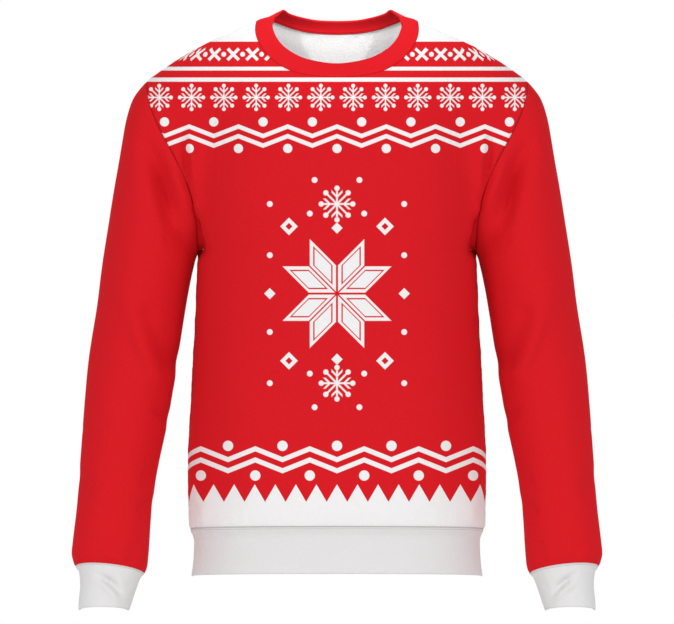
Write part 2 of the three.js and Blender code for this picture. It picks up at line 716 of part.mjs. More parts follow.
// The whole garment
function buildSweater() {
  const front = makePanel(FRONT);
  const back = makePanel(BACK);
  shareBodyNormals(front, back);
  const sleeve = makePiece(foldedGrid(sleeveGrid(0, CUFF_SEAM, SLEEVE_ROW), true, 'sleeve'), true);
  const cuff = makePiece(sleeveGrid(CUFF_SEAM, CUFF_END, CUFF_ROW), true);
  const waistband = makePiece(waistbandGrid(), true);
  const collar = makePiece(collarGrid(), true);

  const frontSeams = panelSeams(front, FRONT, sleeve, collar, waistband);
  const backSeams = panelSeams(back, BACK, sleeve, collar, waistband);
  const armhole = uniqueColumns([...frontSeams.lastArmhole, ...backSeams.firstArmhole]);
  const hem = uniqueColumns([...frontSeams.hem, ...backSeams.hem]);
  const neck = uniqueColumns([...frontSeams.neck, ...backSeams.neck]);
  const wrist = rimSeam(
    sleeve,
    range(0, sleeve.grid[0].length - 1).map((c) => [0, c]),
    rimFrames(cuff, cuff.grid.length - 1),
    range(0, sleeve.grid[0].length - 1),
    1,
  );

  const sleeveShape = pieceGeometry(sleeve, CLOTH_WALL, [
    tubeSeam(sleeve, sleeve.grid.length - 1, armhole, -1),
    wrist,
  ]);
  const cuffShape = pieceGeometry(cuff, RIB_WALL, [tubeSeam(cuff, cuff.grid.length - 1, wrist, -1)]);
  const waistbandShape = pieceGeometry(waistband, RIB_WALL, [
    tubeSeam(waistband, waistband.grid.length - 1, hem, -1),
  ]);
  const collarShape = pieceGeometry(collar, RIB_WALL, [tubeSeam(collar, 0, neck, 1)]);

  const sweater = new THREE.Group();
  sweater.add(
    makeMesh('front_panel', pieceGeometry(front, CLOTH_WALL, Object.values(frontSeams)), RED),
    makeMesh('back_panel', pieceGeometry(back, CLOTH_WALL, Object.values(backSeams)), RED),
    makeMesh('sleeve_left', sleeveShape, RED),
    makeMesh('sleeve_right', mirroredGeometry(sleeveShape), RED),
    makeMesh('cuff_left', cuffShape, WHITE),
    makeMesh('cuff_right', mirroredGeometry(cuffShape), WHITE),
    makeMesh('waistband', waistbandShape, WHITE),
    makeMesh('collar', collarShape, RED),
  );
  return sweater;
}

export default buildSweater();
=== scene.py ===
"""A crew-neck Christmas sweater, filled out as if worn, with nobody in it.

The sewing tables are in millimetres and the meshes in metres. The front faces -Y, +X is on
the viewer's right and +Z is up. Every piece of cloth is a thin closed shell: its outer face
comes from the tables, with folds raised along their lines, and its inner face lies one
thickness further in. The print is drawn by the material from each point's place on the cloth.
"""

import functools
import math

import bpy
import numpy as np
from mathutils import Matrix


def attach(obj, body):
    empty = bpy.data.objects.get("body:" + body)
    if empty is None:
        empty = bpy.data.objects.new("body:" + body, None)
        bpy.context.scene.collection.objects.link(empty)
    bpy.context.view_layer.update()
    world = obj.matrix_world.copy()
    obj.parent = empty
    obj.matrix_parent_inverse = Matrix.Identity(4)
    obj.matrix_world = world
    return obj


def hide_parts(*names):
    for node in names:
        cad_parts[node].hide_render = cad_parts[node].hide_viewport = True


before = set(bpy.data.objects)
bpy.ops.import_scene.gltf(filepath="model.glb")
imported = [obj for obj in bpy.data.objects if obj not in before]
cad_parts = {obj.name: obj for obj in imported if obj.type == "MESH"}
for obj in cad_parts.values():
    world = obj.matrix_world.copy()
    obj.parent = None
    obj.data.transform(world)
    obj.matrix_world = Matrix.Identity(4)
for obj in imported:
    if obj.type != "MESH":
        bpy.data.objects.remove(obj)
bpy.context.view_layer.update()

METRES = 0.001
FRONT, BACK = -1, 1

# Cloth
CLOTH_WALL = 1.8
RIB_WALL = 3
EDGE_ARC_STEPS = 5
SHARP_EDGE = math.radians(55)

# Mesh steps
PANEL_COLUMNS = 160
PANEL_LOWER_ROWS = 104
PANEL_UPPER_ROWS = 78
SLEEVE_COLUMNS = 112
SLEEVE_ROWS = 190
CUFF_ROWS = 26
BAND_COLUMNS = 288
BAND_ROWS = 30
COLLAR_COLUMNS = 240
COLLAR_ROWS = 12

# Levels of the body and the rise of its hem in front and behind
CHEST_LEVEL = -284
WAISTBAND_SEAM = -631
WAISTBAND_END = -690
FRONT_RISE = 9.4
BACK_RISE = 4
BODY_ROUNDNESS = 2.35

# Distances down a sleeve
CUFF_SEAM = 590
CUFF_END = 646

# Fullness of the upper body
FRONT_NECK_SHARE = 9 / 14
BACK_NECK_SHARE = 7 / 12
LOWER_FULLNESS = 1.3
UPPER_FULLNESS = 1.35
SHOULDER_LEAN = 88
NECK_POINT_LEAN = 74
NECK_POINT_TURN = 0.6
NECK_POINT_REACH = 0.36
FRONT_NECK_LEAN = 24
BACK_NECK_LEAN = 25
ARMHOLE_SPREAD = 2.2
SHOULDER_ARCH = 7
COLLAR_SWELL = 1.6

# The coarse steps of the solids, whose upper points are drawn towards their neighbours
FRONT_HALF_STEPS = 14
BACK_HALF_STEPS = 12
ARMHOLE_STEPS = 12
RELAX_ROUNDS = 10
RELAX_SHARE = 0.5
RELAX_MARGIN = 4

# Body sections from the chest to the end of the waistband
BODY_NAMES = ("z", "half", "front", "back")
BODY = (
    (-284, 173.5, 132, 122),
    (-326, 175, 132, 120),
    (-376, 177, 130, 117),
    (-426, 180, 128, 114.5),
    (-470, 182, 126.5, 113.5),
    (-534, 185.5, 125, 114),
    (-586, 185.5, 124.5, 116),
    (-618, 184.5, 123.5, 117),
    (-631, 183, 122, 116),
    (-642, 178.5, 118.5, 112.5),
    (-656, 178.5, 118.5, 112.5),
    (-676, 180, 120, 114),
    (-690, 182, 121.5, 115.5),
)

# The neckline from the middle of the front (turn 0) past the shoulder (1) to the back (2),
# with a mirrored row past each end: the seam on the body and the free edge of the collar
NECKLINE_NAMES = ("turn", "x", "y", "z", "free_x", "free_y", "free_z")
NECKLINE = (
    (-0.28, -43.5, -80, -66.5, -35, -67, -47),
    (0, 0, -88, -71, 0, -74, -52.5),
    (0.28, 43.5, -80, -66.5, 35, -67, -47),
    (0.5, 69, -66, -56, 56.5, -54, -37),
    (0.7, 90.5, -44, -36.5, 72, -34, -22.5),
    (0.86, 101.2, -18, -15, 80.4, -10, -3.6),
    (1, 101.2, 12, 3.8, 77.4, 12, 9.4),
    (1.11, 94.6, 30, 6.3, 74, 24, 14),
    (1.22, 84.6, 45, 8.2, 67, 36, 20.4),
    (1.34, 72.2, 56, 4.6, 59.4, 46, 16.4),
    (1.5, 54, 67, -1.5, 44.5, 56.5, 12.4),
    (1.74, 30.3, 76, -6, 25.3, 65.5, 9.3),
    (2, 0, 79, -7.5, 0, 68.5, 8.4),
    (2.26, -30.3, 76, -6, -25.3, 65.5, 9.3),
)

# Sleeve and cuff sections on the +X side, across the arm from an inner to an outer point
SLEEVE_NAMES = ("down", "out_x", "out_z", "in_x", "in_z", "y", "front", "back", "arch", "bow")
SLEEVE = (
    (0, 237, -71.6, 173.5, -284, 0, 63, 60, 0, 1),
    (18, 252.5, -91, 175, -288, 0, 66, 63, 0, 0.75),
    (42, 262, -116, 177, -294, 0, 69, 66, 0, 0.5),
    (70, 268.5, -147, 179, -303, 0, 72, 69, 0, 0.28),
    (105, 275.5, -189, 182, -317, -1, 74, 71, 0, 0.1),
    (150, 284, -241, 186.5, -340, -2, 74, 73, 0, 0),
    (200, 292.5, -295, 191.5, -371, -4, 72, 73, 0, 0),
    (255, 299.7, -352, 196.8, -408, -7, 68, 70, 0, 0),
    (318, 309.4, -418, 202.6, -447, -11, 63, 67, 0, 0),
    (380, 315, -479.6, 210.4, -493.6, -18, 58, 62, 0, 0),
    (445, 319, -537, 222.5, -551, -27, 53, 56, 2, 0),
    (510, 323, -601.5, 230.6, -613.5, -36, 48, 50, 5, 0),
    (555, 327.6, -645, 233.3, -650, -43, 45, 45, 8, 0),
    (575, 328.5, -662, 235.7, -673.5, -46, 42, 42, 9.5, 0),
    (590, 324, -675.5, 239, -684.4, -48, 36, 36, 10, 0),
    (600, 319.2, -682.5, 243.5, -689, -50, 33, 33, 9, 0),
    (616, 318, -699, 248.8, -703, -53, 31, 31, 8, 0),
    (632, 319.5, -715, 253.2, -717, -55.5, 30, 30, 7, 0),
    (646, 320.2, -729, 257.5, -730, -58, 29, 29, 6.3, 0),
)

# Folds, as lines seen from the front or back on the +X side and mirrored on the other. A
# height above 0 is a ridge and below 0 a trough. A fold bends sideways by its bend, fades
# over a share of its length at each end, is wider on one side by its lean, and sinks to
# nothing over its rim, the last part of the cloth before an edge.
FOLD_NAMES = ("side", "x0", "z0", "x1", "z1", "width", "height", "bend", "fade", "lean", "rim")
BODY_FOLDS = (
    (FRONT, 187, -152, 180, -262, 15, 5, 0, 0, 0, 26),
    (BACK, 186, -165, 178, -268, 16, 4.5, 0, 0, 0, 26),
    (FRONT, 168, -392, 150, -590, 26, -2.5, 0, 0, 0, 26),
    (BACK, 160, -410, 128, -596, 28, -3, 0, 0, 0, 26),
    (FRONT, 194, -122, 187, -216, 6, -9, 2, 0.4, 0.2, 5),
    (FRONT, 178, -232, 171, -300, 9, -13, 0, 0.3, 0, 3),
    (FRONT, 181, -116, 178, -236, 10, 3.2, 2, 0.4, 0, 7),
    (FRONT, 173, -214, 168, -274, 8, 3, 0, 0.3, 0, 5),
    (FRONT, 188, -138, 194, -154, 7, -1.6, 0, 0.5, 0, 7),
    (FRONT, 183, -588, 176, -618, 5, -1.6, 1, 0.4, 0.3, 12),
    (FRONT, 172, -600, 160, -625, 7, 1.2, 0, 0.4, 0, 12),
    (BACK, 198, -124, 190, -214, 7, -3.6, -3, 0.4, 0.2, 7),
    (BACK, 182, -130, 176, -250, 11, 2.8, 2, 0.4, 0, 7),
    (BACK, 92, -150, 128, -236, 20, 2.2, 8, 0.5, 0, 12),
    (BACK, 60, -470, 96, -610, 17, 1.8, -6, 0.5, 0.2, 12),
    (BACK, 150, -500, 120, -560, 14, -2, 4, 0.5, 0, 12),
    (BACK, 176, -592, 160, -622, 7, -1.8, 0, 0.4, 0.2, 12),
)
SLEEVE_FOLDS = (
    (FRONT, 232, -160, 190, -268, 16, -7, 0, 0, 0, 26),
    (FRONT, 258, -340, 222, -434, 17, 5, 0, 0, 0, 26),
    (FRONT, 234, -366, 209, -420, 12, -5, 0, 0, 0, 26),
    (BACK, 240, -176, 196, -272, 18, -6, 0, 0, 0, 26),
    (BACK, 278, -384, 232, -446, 15, 4, 0, 0, 0, 26),
    (BACK, 276, -424, 238, -474, 13, -3.5, 0, 0, 0, 26),
    (FRONT, 229, -148, 196, -268, 10.5, -17.5, 1, 0.45, 0, 10),
    (FRONT, 214, -168, 190, -254, 12, 8, 3, 0.45, 0, 10),
    (FRONT, 212, -256, 206, -286, 5, -1.6, 0, 0.5, 0, 12),
    (FRONT, 256, -348, 208, -468, 8, 3.6, -9, 0.5, 0.35, 12),
    (FRONT, 224, -400, 206, -446, 11, -4.6, 3, 0.5, 0.2, 12),
    (FRONT, 232, -474, 206, -508, 7, -4, 2, 0.5, 0.3, 8),
    (FRONT, 228, -548, 240, -580, 7, -2.6, -2, 0.5, 0.2, 12),
    (FRONT, 226, -584, 248, -618, 7, -4.2, -2, 0.5, 0.3, 12),
    (FRONT, 322, -548, 306, -600, 9, -3.6, 2, 0.5, 0.2, 12),
    (FRONT, 318, -500, 306, -512, 6, -1.4, 0, 0.5, 0, 12),
    (FRONT, 304, -652, 286, -662, 8, -2.4, 1, 0.5, 0, 12),
    (FRONT, 262, -662, 246, -674, 7, -2.4, 1, 0.5, 0, 12),
    (FRONT, 240, -640, 258, -656, 6, -1.8, 0, 0.5, 0, 12),
    (BACK, 226, -196, 196, -262, 8, -2.4, 4, 0.5, 0.3, 12),
    (BACK, 284, -330, 252, -372, 12, -1.8, 4, 0.5, 0.2, 12),
    (BACK, 318, -520, 286, -558, 9, -2.2, 3, 0.5, 0.2, 12),
    (BACK, 228, -560, 250, -600, 7, -2, -2, 0.5, 0.2, 12),
    (BACK, 300, -640, 282, -664, 8, -2, 1, 0.5, 0, 12),
    (BACK, 264, -650, 246, -672, 7, -2.2, 1, 0.5, 0, 12),
)
CUFF_FOLDS = (
    (FRONT, 302, -680, 262, -714, 3.8, -5.2, 3, 0.4, 0.3, 5),
    (FRONT, 292, -684, 266, -704, 3, -3.4, 2, 0.4, 0.2, 5),
    (FRONT, 300, -690, 266, -722, 4.6, 3, 3, 0.4, 0.2, 7),
    (FRONT, 254, -692, 262, -706, 3, -0.8, 0, 0.5, 0, 12),
    (BACK, 256, -684, 292, -712, 3.4, -1.4, -3, 0.5, 0.3, 12),
    (BACK, 276, -684, 304, -704, 3, -1, -2, 0.5, 0.2, 12),
)

# Seams: the cloth rises beside each sewn edge, so that the edge lies in a groove, and puckers
SEAM_RISE = 0.7
SEAM_WIDTH = 2.2
SEAM_REACH = 24
PUCKER_HEIGHT = 0.7
PUCKER_REACH = 16
SLACK_HEIGHT = 0.8
SLACK_RIM = 30
# A rib's colour darkens along the line of its stitches by the stitch shade: painted shade for the groove of
# the stitches
STITCH_LEVEL = 2.5
STITCH_WIDTH = 0.7
STITCH_SHADE = 0.62
TUCK_LENGTH = 1.6
TUCK_SINK = 0.9
# Each seam sinks in by the crease depth, and its colour darkens towards the seam shadow by the crease shade:
# painted shade
CREASE_WIDTH = 1.7
CREASE_DEPTH = 0.0009
CREASE_SHADE = 0.22
RIB_CREASE_SHADE = 0.13

# The print, in millimetres on the flat: levels are heights above the origin
INK_EDGE = 0.7
PRINT_STRETCH = 2
YOKE_END = -22
CROSS_LEVEL = -37.9
CROSS_PITCH = 23.6
CROSS_ARM = 9.9
CROSS_HALF_STROKE = 1.9
CROSS_DOT = 3
STRIPES = ((-53.5, -58.1), (-67, -72.1))
FLAKE_LEVEL = -91.8
FLAKE_PITCH = 40.4
FLAKE_ARM = 14.6
FLAKE_KNOB = 2.4
FLAKE_HALF_STROKE = 0.82
FLAKE_BRANCH = 6.6
FLAKE_BRANCH_REACH = 5
ZIGZAG_NAMES = ("peak", "pitch", "shift", "stroke", "rise", "apart")
UPPER_ZIGZAG = dict(zip(ZIGZAG_NAMES, (-125.4, 61.6, 0, 5.5, 11.9, 12)))
LOWER_ZIGZAG = dict(zip(ZIGZAG_NAMES, (-527.8, 68.1, 0.5, 6.3, 13.6, 13.9)))
DOT_NAMES = ("level", "pitch", "shift", "radius")
DOT_ROWS = tuple(
    dict(zip(DOT_NAMES, row))
    for row in (
        (-122.4, 61.6, 0.5, 5.7),
        (-155.6, 61.6, 0, 5.7),
        (-527.3, 68.1, 0, 6.4),
        (-564.4, 68.1, 0.5, 6.4),
    )
)
SAWTOOTH_PEAK = -575.4
SAWTOOTH_PITCH = 25.7
SAWTOOTH_HEIGHT = 22

# The star and its company in the middle of the front
MOTIF_LEVEL = -337
STAR_PETAL = 34
STAR_GAP = 1.3
STAR_INLAY = (4.2, 6)
MOTIF_FLAKE_LEVEL = 112
MOTIF_FLAKE_SCALE = 1.35
MOTIF_DIAMONDS = ((60, 84, 11, 4.5), (0, 82, 7, 0), (84, 0, 7, 0))
MOTIF_DOTS = ((34, 100, 3.6), (84, 48, 3.6), (84, 112, 3.6), (28, 142, 3.6))

# Colours, linear
RED = (0.66, 0.0108, 0.0172, 1)
INK_WHITE = (0.82, 0.82, 0.82, 1)
# The inside's own white, set brighter than the print's white as painted light for the inside of the neck
INSIDE_WHITE_AND_PAINTED_LIGHT = (0.96, 0.96, 0.96, 1)
RIB_WHITE = (0.72, 0.72, 0.72, 1)
NAP_SHEEN = 0.6
NAP_TINT = (0.9, 0.03, 0.04, 1)
WHITE_TINT = (1, 1, 1, 1)
SEAM_SHADOW = (0.02, 0.01, 0.01, 1)
RIB_SHEEN = 0.4

# Camera: level, in front of the middle of the picture
CAMERA_DISTANCE = 6000
CAMERA_LEVEL = -360
CAMERA_LENS = 256.4
SENSOR = 36

# Studio, in metres and watts: each light's place, its aim, its width and its power
AMBIENT = 0.52
LIGHTS = {
    "key_left": ((-1.3, -4.1, 0.8), (0, 0, -0.2), 1.4, 27),
    "key_right": ((1.3, -4.1, 0.8), (0, 0, -0.2), 1.4, 27),
    "left": ((-3, -3, 0.2), (0, 0, -0.35), 1.8, 40),
    "right": ((3, -3, 0.2), (0, 0, -0.35), 1.8, 40),
    "behind": ((0, 4.5, 1.2), (0, 0, -0.35), 2.6, 82),
}
SPOTS = {
    "neck_from_left": ((-1.3, -2.3, 1.3), (0, 0.09, 0.04), 0.24, 215),
    "neck_from_right": ((1.3, -2.3, 1.3), (0, 0.09, 0.04), 0.24, 215),
}
SPOT_CONE = 0.13
FLOOR_LEVEL = -0.8
FLOOR_RADIUS = 0.62
FLOOR_SIDES = 96
FLOOR_COLOUR = (0.9, 0.9, 0.9, 1)


def between(low, high, share):
    return low + (high - low) * share


def smooth_step(value):
    share = np.clip(value, 0, 1)
    return share * share * (3 - 2 * share)


def unit(vectors):
    lengths = np.linalg.norm(vectors, axis=-1, keepdims=True)
    return vectors / np.maximum(lengths, 1e-9)


def points_of(x, y, z):
    return np.stack(np.broadcast_arrays(x, y, z), axis=-1).astype(float)


def hermite(start, leaving, end, arriving, share):
    square = share * share
    cube = square * share
    return (
        start * (2 * cube - 3 * square + 1)
        + leaving * (cube - 2 * square + share)
        + end * (3 * square - 2 * cube)
        + arriving * (cube - square)
    )


def read_table(table, names, places):
    """The table's columns at places given in its first column, smooth from row to row"""
    rows = np.array(table, float)
    places = np.asarray(places, float)
    way = 1 if rows[1, 0] > rows[0, 0] else -1
    last = len(rows) - 2
    low = np.clip(np.searchsorted(way * rows[:, 0], way * places) - 1, 0, last)
    before, start = rows[np.maximum(low - 1, 0)], rows[low]
    end, after = rows[low + 1], rows[np.minimum(low + 2, len(rows) - 1)]
    span = end[..., :1] - start[..., :1]
    share = (places[..., None] - start[..., :1]) / span
    leaving = (end - before) / (end[..., :1] - before[..., :1]) * span
    arriving = (after - start) / (after[..., :1] - start[..., :1]) * span
    values = hermite(start, leaving, end, arriving, share)
    return {name: values[..., i] for i, name in enumerate(names)}


def ring_points(side, across, z):
    """Body: across runs from -1 at one side seam past 0 in the middle to 1 at the other"""
    section = read_table(BODY, BODY_NAMES, z)
    turn = across * math.pi / 2
    power = 2 / BODY_ROUNDNESS
    depth = section["front"] if side == FRONT else section["back"]
    rise = FRONT_RISE if side == FRONT else BACK_RISE
    downward = (CHEST_LEVEL - z) / (CHEST_LEVEL - WAISTBAND_END)
    outward = np.abs(np.cos(turn)) ** power
    x = section["half"] * np.sign(np.sin(turn)) * np.abs(np.sin(turn)) ** power
    return points_of(x, side * depth * outward, z + rise * downward * outward)


def neck_seam(turn):
    row = read_table(NECKLINE, NECKLINE_NAMES, turn)
    return points_of(row["x"], row["y"], row["z"])


def neck_free(turn):
    row = read_table(NECKLINE, NECKLINE_NAMES, turn)
    return points_of(row["free_x"], row["free_y"], row["free_z"])


def sleeve_points(down, turn):
    """Turn 0 is under the arm, a quarter turn in front and a half turn on the outside"""
    section = read_table(SLEEVE, SLEEVE_NAMES, down)
    outward = (1 - np.cos(turn)) / 2
    bend = np.sin(outward * math.pi / 2) ** 3 - outward
    forward = np.sin(turn)
    reach = np.where(forward > 0, section["front"], section["back"])
    return points_of(
        section["in_x"] + (section["out_x"] - section["in_x"]) * (outward + section["bow"] * bend),
        section["y"] - forward * reach,
        between(section["in_z"], section["out_z"], outward) + section["arch"] * np.abs(forward),
    )


def armhole(turn):
    return sleeve_points(np.zeros_like(turn), turn)


def shoulder(share):
    """The shoulder seam from the neck (0) to the armhole (1)"""
    share = np.clip(share, 0, 1)
    inner = neck_seam(np.ones_like(share))
    points = between(inner, armhole(np.full_like(share, math.pi)), share[..., None])
    points[..., 2] += SHOULDER_ARCH * np.sin(math.pi * share**1.2)
    return points


def neck_share(side):
    return FRONT_NECK_SHARE if side == FRONT else BACK_NECK_SHARE


def top_points(side, width):
    """Where a panel ends above: the neckline, then the shoulder seam"""
    along_neck = np.clip(width / neck_share(side), 0, 1)
    neck = neck_seam(along_neck if side == FRONT else 2 - along_neck)
    past = (width - neck_share(side)) / (1 - neck_share(side))
    return np.where((width <= neck_share(side))[..., None], neck, shoulder(past))


def top_lean(side, width):
    """How far over a panel leans where it ends above"""
    middle = FRONT_NECK_LEAN if side == FRONT else BACK_NECK_LEAN
    neck = between(middle, NECK_POINT_LEAN, smooth_step(width / neck_share(side)))
    past = (width - neck_share(side)) / (1 - neck_share(side))
    over = between(NECK_POINT_LEAN, SHOULDER_LEAN, smooth_step(past))
    return np.radians(np.where(width < neck_share(side), neck, over))


def column_points(side, width, upward):
    """A column of the upper body, from the chest level (0) to the neckline or shoulder (1)"""
    low = ring_points(side, width, np.full_like(width, CHEST_LEVEL))
    high = top_points(side, width)
    lean = top_lean(side, width)
    rise = high[..., 2] - low[..., 2]
    run = np.abs(high[..., 1] - low[..., 1])
    reach = UPPER_FULLNESS * (run * np.sin(lean) + rise * np.cos(lean))
    near_neck_point = 1 - np.abs(width - neck_share(side)) / NECK_POINT_REACH
    inward = NECK_POINT_TURN * smooth_step(near_neck_point)
    leaving = points_of(0, 0, LOWER_FULLNESS * rise)
    arriving = points_of(-inward, -side * np.sin(lean), np.cos(lean)) * reach[..., None]
    return hermite(low, leaving, high, arriving, upward[..., None])


def upper_points(side, across, upward):
    """The upper body: its columns, drawn to the armhole towards the sides"""
    width = np.abs(across)
    points = column_points(side, width, upward)
    edge = column_points(side, np.ones_like(width), upward)
    pull = armhole(-side * upward * math.pi) - edge
    points = points + pull * (width**ARMHOLE_SPREAD)[..., None]
    points[..., 0] *= np.where(across < 0, -1, 1)
    return points


def relaxing(side):
    """How far the coarse upper points move as they are drawn towards their neighbours"""
    half = FRONT_HALF_STEPS if side == FRONT else BACK_HALF_STEPS
    across = -side * np.arange(-half, half + 1) / half
    upward = np.arange(ARMHOLE_STEPS + 1) / ARMHOLE_STEPS
    start = upper_points(side, *np.meshgrid(across, upward))
    rows, columns = start.shape[:2]
    from_side = np.minimum(np.arange(columns), columns - 1 - np.arange(columns))
    share = RELAX_SHARE * smooth_step(from_side[None, :] / RELAX_MARGIN)
    share = share * smooth_step(np.arange(rows)[:, None] / RELAX_MARGIN)
    grid = start.copy()
    for _ in range(RELAX_ROUNDS):
        around = grid[1:-1, :-2] + grid[1:-1, 2:] + grid[:-2, 1:-1] + grid[2:, 1:-1]
        moved = between(grid[1:-1, 1:-1], around / 4, share[1:-1, 1:-1, None])
        grid[1:-1, 1:-1] = moved
    return grid - start


def resampled(values, places):
    """Rows of values at fractional places, smooth from row to row"""
    low = np.clip(places.astype(int), 0, len(values) - 2)
    share = (places - low)[:, None, None]
    before = values[np.maximum(low - 1, 0)]
    after = values[np.minimum(low + 2, len(values) - 1)]
    start, end = values[low], values[low + 1]
    return hermite(start, (end - before) / 2, end, (after - start) / 2, share)


def panel_grid(side):
    """A panel from the waistband seam up to the neckline and shoulders"""
    across = -side * np.linspace(-1, 1, PANEL_COLUMNS + 1)
    levels = np.linspace(WAISTBAND_SEAM, CHEST_LEVEL, PANEL_LOWER_ROWS + 1)
    lower = ring_points(side, *np.meshgrid(across, levels))
    upward = np.linspace(0, 1, PANEL_UPPER_ROWS + 1)
    upper = upper_points(side, *np.meshgrid(across, upward))
    moves = relaxing(side)
    moves = resampled(moves, upward * ARMHOLE_STEPS)
    coarse = np.linspace(0, moves.shape[1] - 1, PANEL_COLUMNS + 1)
    moves = resampled(moves.transpose(1, 0, 2), coarse).transpose(1, 0, 2)
    return np.concatenate([lower[:-1], upper + moves])


def sleeve_grid(start, end, rows):
    """A tube of the sleeve between two distances down it, with its rows upwards"""
    turns = np.linspace(0, 2 * math.pi, SLEEVE_COLUMNS, endpoint=False)
    return sleeve_points(*reversed(np.meshgrid(turns, np.linspace(end, start, rows + 1))))


def waistband_grid():
    around = np.linspace(-1, 3, BAND_COLUMNS, endpoint=False)
    levels = np.linspace(WAISTBAND_END, WAISTBAND_SEAM, BAND_ROWS + 1)
    across, z = np.meshgrid(around, levels)
    front = ring_points(FRONT, across, z)
    back = ring_points(BACK, 2 - across, z)
    return np.where((across <= 1)[..., None], front, back)


def collar_grid():
    around = np.linspace(-2, 2, COLLAR_COLUMNS, endpoint=False)
    turn, share = np.meshgrid(around, np.linspace(0, 1, COLLAR_ROWS + 1))
    points = between(neck_seam(np.abs(turn)), neck_free(np.abs(turn)), share[..., None])
    away = unit(points * (1, 1, 0))
    points += away * (COLLAR_SWELL * np.sin(math.pi * share))[..., None]
    points[..., 0] *= np.where(turn < 0, -1, 1)
    return points


def grid_normals(grid, closed):
    """Outward normals of a grid whose columns run against the clock and rows upwards"""
    if closed:
        across = np.roll(grid, -1, axis=1) - np.roll(grid, 1, axis=1)
    else:
        across = np.gradient(grid, axis=1)
    return unit(np.cross(across, np.gradient(grid, axis=0)))


def running_lengths(grid, axis):
    steps = np.linalg.norm(np.diff(grid, axis=axis), axis=-1)
    start = np.zeros_like(np.take(steps, [0], axis=axis))
    return np.concatenate([start, np.cumsum(steps, axis=axis)], axis=axis)


def edge_distances(grid, closed):
    """How far each point is from the nearest end of its row or column"""
    up = running_lengths(grid, 0)
    from_edge = np.minimum(up, up[-1:] - up)
    if closed:
        return from_edge
    right = running_lengths(grid, 1)
    return np.minimum(from_edge, np.minimum(right, right[:, -1:] - right))


def fold_height(fold, grid, normals):
    """How high one fold stands over each point"""
    along = np.array([fold["x1"] - fold["x0"], fold["z1"] - fold["z0"]], float)
    length = np.hypot(*along)
    x = np.abs(grid[..., 0]) - fold["x0"]
    z = grid[..., 2] - fold["z0"]
    share = (x * along[0] + z * along[1]) / length**2
    held = np.clip(share, 0, 1)
    sideways = (x * along[1] - z * along[0]) / length - fold["bend"] * 4 * held * (1 - held)
    width = fold["width"] * (1 + fold["lean"] * np.sign(sideways))
    distance = np.hypot(sideways, (share - held) * length)
    height = fold["height"] * np.exp(-((distance / width) ** 2))
    if fold["fade"]:
        height = height * smooth_step(held / fold["fade"]) * smooth_step((1 - held) / fold["fade"])
    return height * smooth_step(0.5 + fold["side"] * normals[..., 1])


def folded(grid, closed, folds):
    """The grid with its folds raised and sunk, and its edges left where they are"""
    normals = grid_normals(grid, closed)
    from_edge = edge_distances(grid, closed)
    heights = np.zeros_like(from_edge)
    for row in folds:
        fold = dict(zip(FOLD_NAMES, row))
        heights += fold_height(fold, grid, normals) * smooth_step(from_edge / fold["rim"])
    return grid + normals * heights[..., None]


def slack(grid, seed):
    """Soft unevenness of hanging cloth, from -1 to 1"""
    draws = np.random.default_rng(seed)
    total = np.zeros(grid.shape[:2])
    for _ in range(7):
        way = unit(draws.normal(size=3) * (1, 1, 0.6))
        total += np.sin(grid @ way * 2 * math.pi / draws.uniform(55, 150) + draws.uniform(0, 6))
    return total / 7


def puckers(along, seed):
    """Small uneven gathers along a seam, from -1 to 1"""
    draws = np.random.default_rng(seed)
    total = np.zeros_like(along)
    for _ in range(5):
        total += np.sin(along * 2 * math.pi / draws.uniform(11, 44) + draws.uniform(0, 6))
    return total / 5


def seam_places(grid):
    """How far each point is from the bottom, top and sides, and how far along them"""
    up = running_lengths(grid, 0)
    right = running_lengths(grid, 1)
    return {
        "bottom": (up, right),
        "top": (up[-1:] - up, right),
        "sides": (np.minimum(right, right[:, -1:] - right), up),
    }


def from_seams(grid, seams):
    """How far each point is from the nearest of some seams"""
    places = seam_places(grid)
    return functools.reduce(np.minimum, [places[seam][0] for seam in seams])


def sewn(grid, closed, seams, seed, pucker=PUCKER_HEIGHT):
    """The grid raised and puckered beside the seams named bottom, top and sides"""
    normals = grid_normals(grid, closed)
    places = seam_places(grid)
    nearest = from_seams(grid, seams)
    raised = SEAM_RISE * np.exp(-((nearest / SEAM_REACH) ** 2))
    for number, seam in enumerate(seams):
        away, along = places[seam]
        raised += pucker * puckers(along, seed + number) * np.exp(-((away / PUCKER_REACH) ** 2))
    raised *= 1 - np.exp(-((nearest / SEAM_WIDTH) ** 2))
    return grid + normals * raised[..., None]


def loosened(grid, closed, seed):
    """The grid with the slack of its cloth, and its edges left where they are"""
    raised = SLACK_HEIGHT * slack(grid, seed) * smooth_step(edge_distances(grid, closed) / SLACK_RIM)
    return grid + grid_normals(grid, closed) * raised[..., None]


def print_places(grid, side):
    """Where each point of a panel lies on the print, seen level from its own side"""
    nearness = CAMERA_DISTANCE / (CAMERA_DISTANCE - side * grid[..., 1])
    level = CAMERA_LEVEL + (grid[..., 2] - CAMERA_LEVEL) * nearness
    seen = grid[..., 0] * nearness * -side
    steps = np.diff(seen, axis=1)
    lengths = np.linalg.norm(np.diff(grid, axis=1), axis=-1)
    steps = np.maximum(steps, lengths / PRINT_STRETCH)
    across = np.concatenate([np.zeros((len(grid), 1)), np.cumsum(steps, axis=1)], axis=1)
    across -= across[:, PANEL_COLUMNS // 2, None]
    return points_of(across, 0, level)


def repeated(values, edge):
    """Rows of values with the one at an edge repeated"""
    return np.concatenate([values, values[-1:]] if edge == "top" else [values[:1], values])


def tucked(grid, edge):
    """The grid with one more row past a seam, sunk under the piece that it meets"""
    end, before = (-1, -2) if edge == "top" else (0, 1)
    onward = unit(grid[end] - grid[before]) * TUCK_LENGTH
    sunk = grid_normals(grid, True)[end] * TUCK_SINK
    longer = repeated(grid, edge)
    longer[end] += onward - sunk
    return longer


def depths_below(grid):
    """How far each point of a rib lies below the seam along its top"""
    up = running_lengths(grid, 0)
    return points_of(0, 0, up[-1:] - up)


